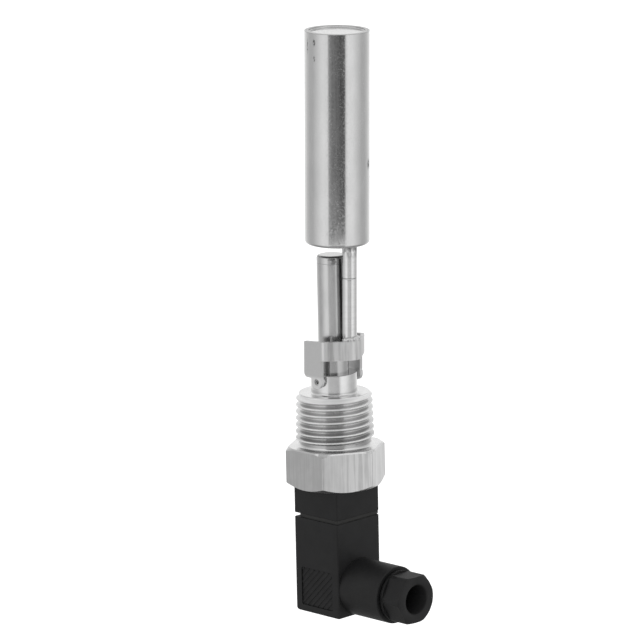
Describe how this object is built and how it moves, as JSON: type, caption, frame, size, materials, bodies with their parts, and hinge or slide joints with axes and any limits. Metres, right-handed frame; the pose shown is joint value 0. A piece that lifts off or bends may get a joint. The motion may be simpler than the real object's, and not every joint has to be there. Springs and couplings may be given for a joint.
{
  "type": "float switch",
  "caption": "Side-mounted stainless level switch: a float on a hinged arm over a fixed sensor tube, with a taper-thread hexagon body and an angled square plug with cable gland.",
  "frame": {"origin": "on the switch axis, at the shoulder between the hexagon and the taper thread", "axes": "+X along the switch axis into the tank, towards the float; +Z the way the arm stands off and swings out and the cable leaves; +Y along the hinge pins"},
  "size_m": [0.1583, 0.024, 0.0432],
  "materials": {
    "turned_steel": "turned and milled stainless steel, bright",
    "tube_steel": "drawn stainless tube, satin",
    "sheet_steel": "rolled stainless sheet, matt",
    "float_steel": "drawn stainless shell, lengthwise satin polish",
    "pin_steel": "bright drawn wire",
    "weld_steel": "small weld bead, bare",
    "screw_steel": "plated screws",
    "contact_metal": "plated contacts",
    "black_plastic": "moulded black thermoplastic, fine grain",
    "insert_plastic": "moulded thermoplastic",
    "pale_plastic": "moulded natural thermoplastic",
    "lead_insulation": "wire insulation",
    "black_rubber": "moulded seal rubber",
    "capsule_glass": "sealed glass",
    "magnet_material": "pressed magnet"
  },
  "bodies": {
    "switch_body": {"body": "turned_steel", "sensor_tube": "tube_steel", "tube_plug": "tube_steel", "reed_glass": "capsule_glass", "reed_blades": "contact_metal", "reed_sleeve": "pale_plastic", "switch_leads": "lead_insulation", "hinge_pin_front": "pin_steel", "hinge_pin_rear": "pin_steel", "connector_base": "black_plastic", "contact_blade_1": "contact_metal", "contact_blade_2": "contact_metal", "contact_blade_3": "contact_metal", "earth_blade": "contact_metal", "gasket": "black_rubber", "plug_housing": "black_plastic", "terminal_insert": "insert_plastic", "terminal_1": "contact_metal", "terminal_2": "contact_metal", "terminal_3": "contact_metal", "terminal_4": "contact_metal", "terminal_screws": "screw_steel", "fixing_screw": "screw_steel", "screw_washer": "black_rubber", "gland_seal": "black_rubber", "gland_washer": "black_plastic", "gland_nut": "black_plastic"},
    "float_arm": {"bracket": "sheet_steel", "stem": "tube_steel", "stem_foot_plug": "tube_steel", "stem_end_plug": "tube_steel", "magnet": "magnet_material", "magnet_spacer": "pale_plastic", "stem_weld": "weld_steel", "float_shell": "float_steel", "float_lid": "float_steel"}
  },
  "joints": [
    {"name": "arm_hinge", "type": "hinge", "parent": "switch_body", "child": "float_arm", "pos_m": [0.0184, 0, 0.00135], "axis": [0, -1, 0], "range_deg": [0, 62]}
  ]
}
